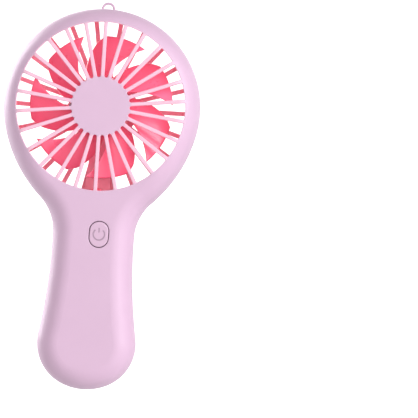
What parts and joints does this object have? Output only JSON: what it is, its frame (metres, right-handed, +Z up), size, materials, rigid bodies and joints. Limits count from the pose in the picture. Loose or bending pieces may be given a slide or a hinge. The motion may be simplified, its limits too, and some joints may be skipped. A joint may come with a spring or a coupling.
{
  "type": "handheld electric fan",
  "caption": "Pocket-size rechargeable fan with a round grilled head, a waisted flat handle, a power button and a lanyard loop.",
  "frame": {"origin": "middle of the hand grip, on the parting plane between the two shells", "axes": "+Z runs up the handle to the head, -Y is the front that the air leaves by, +X is the right-hand side seen from the front"},
  "size_m": [0.0998, 0.032, 0.1972],
  "materials": {
    "shell_pink": "fine satin moulded surface",
    "button_pink": "satin",
    "impeller_pink": "slightly translucent satin gloss",
    "label": "silver-white film",
    "screw_steel": "zinc plated",
    "plated_steel": "nickel plated",
    "core_steel": "stacked laminations",
    "ferrite": "sintered ferrite",
    "copper": "enamelled",
    "sintered_bronze": "oil-filled sintered",
    "white_plastic": "satin",
    "black_plastic": "satin",
    "board_green": "solder mask",
    "passives": "satin",
    "led_lens": "clear resin",
    "cell_wrap": "heat-shrink film",
    "foam": "closed-cell foam",
    "wire_red": "insulation",
    "wire_black": "insulation"
  },
  "bodies": {
    "housing": {"front_shell": "shell_pink", "back_shell": "shell_pink", "rear_label": "label", "case_screw": "screw_steel", "switch_body": "black_plastic", "circuit_board": "board_green", "usb_socket": "plated_steel", "usb_contacts": "black_plastic", "charge_chip": "black_plastic", "driver_chip": "black_plastic", "status_led": "led_lens", "board_passives": "passives", "board_screws": "screw_steel", "battery_cell": "cell_wrap", "battery_positive_cap": "plated_steel", "battery_tabs": "plated_steel", "battery_foam_pads": "foam", "battery_wire_red": "wire_red", "battery_wire_black": "wire_black", "motor_can": "plated_steel", "motor_magnets": "ferrite", "motor_front_bush": "sintered_bronze", "motor_end_cap": "white_plastic", "motor_rear_bush": "sintered_bronze", "motor_brushes": "copper", "motor_terminals": "plated_steel", "motor_retainer": "white_plastic", "retainer_screws": "screw_steel", "motor_wire_red": "wire_red", "motor_wire_black": "wire_black"},
    "rotor": {"impeller": "impeller_pink", "motor_shaft": "screw_steel", "armature_core": "core_steel", "armature_windings": "copper", "commutator": "copper"},
    "button": {"power_button": "button_pink", "switch_plunger": "black_plastic"}
  },
  "joints": [
    {"name": "fan_spin", "type": "hinge", "parent": "housing", "child": "rotor", "pos_m": [0, 0, 0.1], "axis": [0, 1, 0], "continuous": true},
    {"name": "button_press", "type": "slide", "parent": "housing", "child": "button", "axis": [0, 1, 0], "range_m": [0, 0.0005], "stiffness_N_per_m": 600, "springref_m": -0.001}
  ]
}
